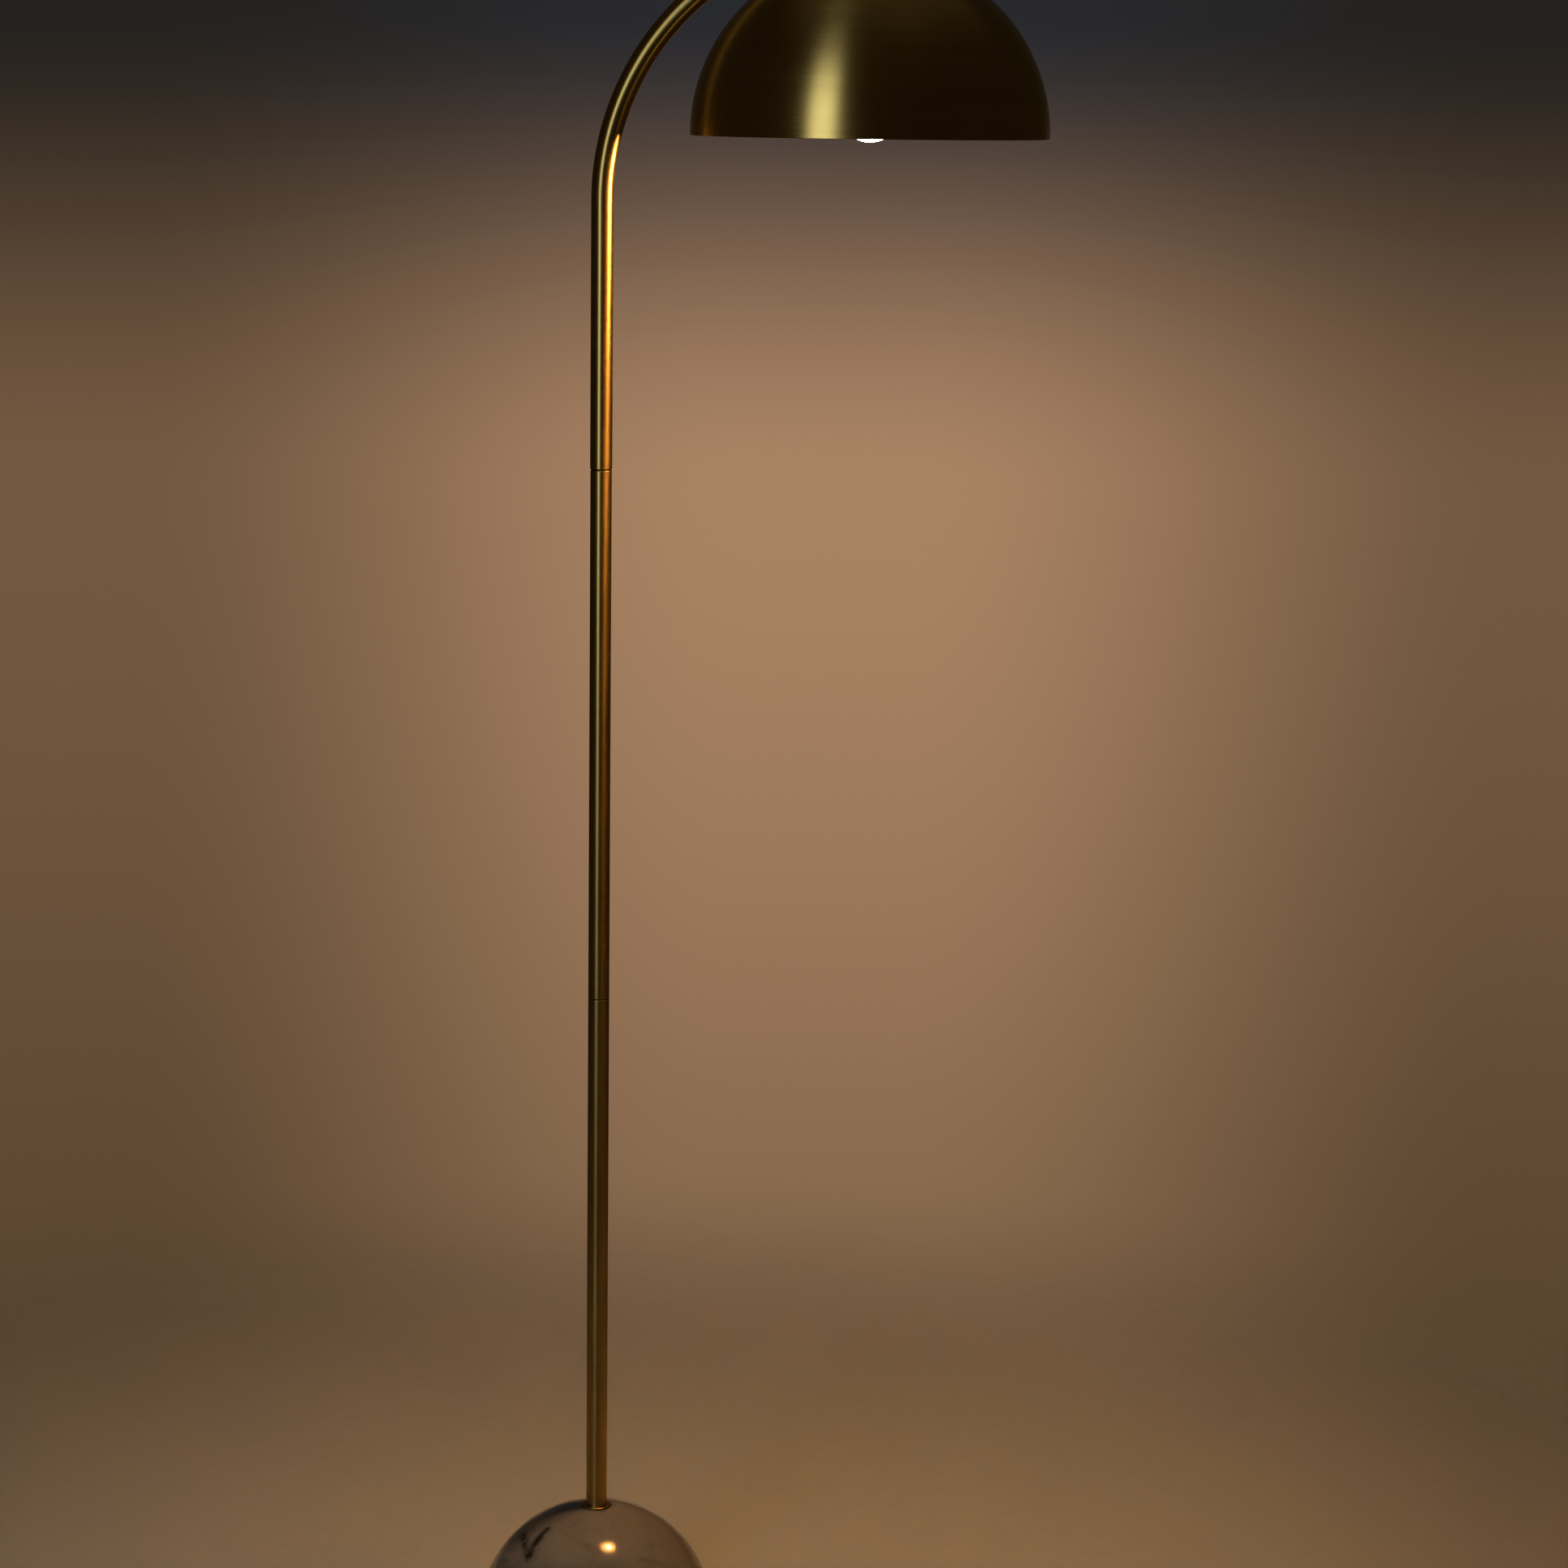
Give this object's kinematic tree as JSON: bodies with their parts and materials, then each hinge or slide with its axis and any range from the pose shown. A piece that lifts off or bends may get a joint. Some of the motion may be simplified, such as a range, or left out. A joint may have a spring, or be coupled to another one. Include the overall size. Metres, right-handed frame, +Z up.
{
  "type": "arc floor lamp",
  "caption": "Floor lamp with a straight brass post that bends through a quarter circle, a half-ball brass shade that tilts from its end, and a marble half-ball base.",
  "frame": {"origin": "middle of the face that stands on the floor, under the post", "axes": "+Z up the post, +X from the post towards the shade"},
  "size_m": [0.5245, 0.33, 1.6308],
  "materials": {
    "brass": "satin, brushed along the tube, lacquered",
    "dome_brass": "spun and brushed round and round, lacquered",
    "marble": "polished, grey veins on pale ground",
    "felt": "matt felt",
    "steel": "bright zinc",
    "nickel": "nickel plated",
    "rubber": "matt",
    "lead": "smooth sheath",
    "nylon": "black nylon",
    "fibre": "vulcanised fibre",
    "phenolic": "black moulded phenolic",
    "bulb_glass": "clear, lit from inside",
    "stem_glass": "clear",
    "filament": "glowing warm white"
  },
  "bodies": {
    "base": {"floor_pad": "felt", "marble_base": "marble", "clamp_washer": "steel", "lock_washer": "steel", "base_nut": "steel", "tie_rod": "steel", "cord_grommet": "rubber", "foot_collar": "brass", "foot_coupler": "brass", "lower_post": "brass", "joint_socket": "brass", "joint_stud": "brass", "middle_post": "brass", "swivel_spigot": "brass", "swivel_washer": "nylon", "swivel_clip": "steel", "lead_post": "lead"},
    "arc": {"swivel_bush": "nylon", "arc_tube": "brass", "arc_end_fork": "brass", "fork_grub_screw": "steel", "friction_washer_front": "fibre", "friction_washer_rear": "fibre", "pivot_screw": "brass", "pivot_nut": "brass", "lead_arc": "lead"},
    "shade": {"shade_knuckle": "brass", "shade_cap": "brass", "dome_shade": "dome_brass", "shade_nipple": "steel", "shade_washer": "steel", "shade_nut": "brass", "nipple_spacer": "brass", "socket_cap": "brass", "socket_shell": "brass", "socket_liner": "fibre", "socket_core": "phenolic", "socket_screw_shell": "brass", "socket_contact": "brass", "lead_shade": "lead"},
    "switch_key": {"switch_shaft": "steel", "switch_knob": "phenolic"},
    "bulb": {"bulb_glass": "bulb_glass", "bulb_cap": "nickel", "bulb_insulator": "phenolic", "bulb_contact": "nickel", "bulb_stem": "stem_glass", "bulb_filament": "filament"}
  },
  "joints": [
    {"name": "arc_swivel", "type": "hinge", "parent": "base", "child": "arc", "pos_m": [0, 0, 1.1275], "axis": [0, 0, 1], "range_deg": [-170, 170]},
    {"name": "shade_tilt", "type": "hinge", "parent": "arc", "child": "shade", "pos_m": [0.2455, 0, 1.62104], "axis": [0, -1, 0], "range_deg": [-7, 45]},
    {"name": "switch_turn", "type": "hinge", "parent": "shade", "child": "switch_key", "pos_m": [0.2455, -0.0265, 1.54864], "axis": [0, -1, 0], "continuous": true},
    {"name": "bulb_screw", "type": "hinge", "parent": "shade", "child": "bulb", "pos_m": [0.2455, 0, 1.43114], "axis": [0, 0, -1], "continuous": true}
  ]
}
